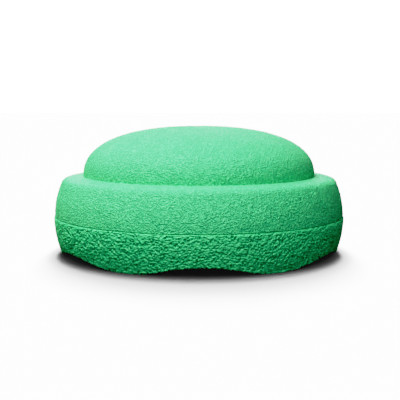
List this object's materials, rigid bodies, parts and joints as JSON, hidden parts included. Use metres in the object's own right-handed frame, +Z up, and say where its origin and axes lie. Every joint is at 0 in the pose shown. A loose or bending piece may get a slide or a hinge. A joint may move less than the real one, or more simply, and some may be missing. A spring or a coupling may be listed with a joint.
{
  "type": "balance stone",
  "caption": "Round domed balance and stepping stone of moulded bead foam, hollow below so that it stacks, with a smooth upper shell over a coarse skirt on arched feet.",
  "frame": {"origin": "on the floor, in the middle of the stone, level with the bottom of its feet", "axes": "+Z up along the stone's axis through the dome's crown; an arch of the lower edge faces -Y"},
  "size_m": [0.275, 0.275, 0.12],
  "materials": {
    "fine_foam": "fine-grained moulded bead foam, matt",
    "coarse_foam": "coarse-grained moulded bead foam, matt"
  },
  "bodies": {
    "root": {"upper_shell": "fine_foam", "base_ring": "coarse_foam"}
  },
  "joints": []
}
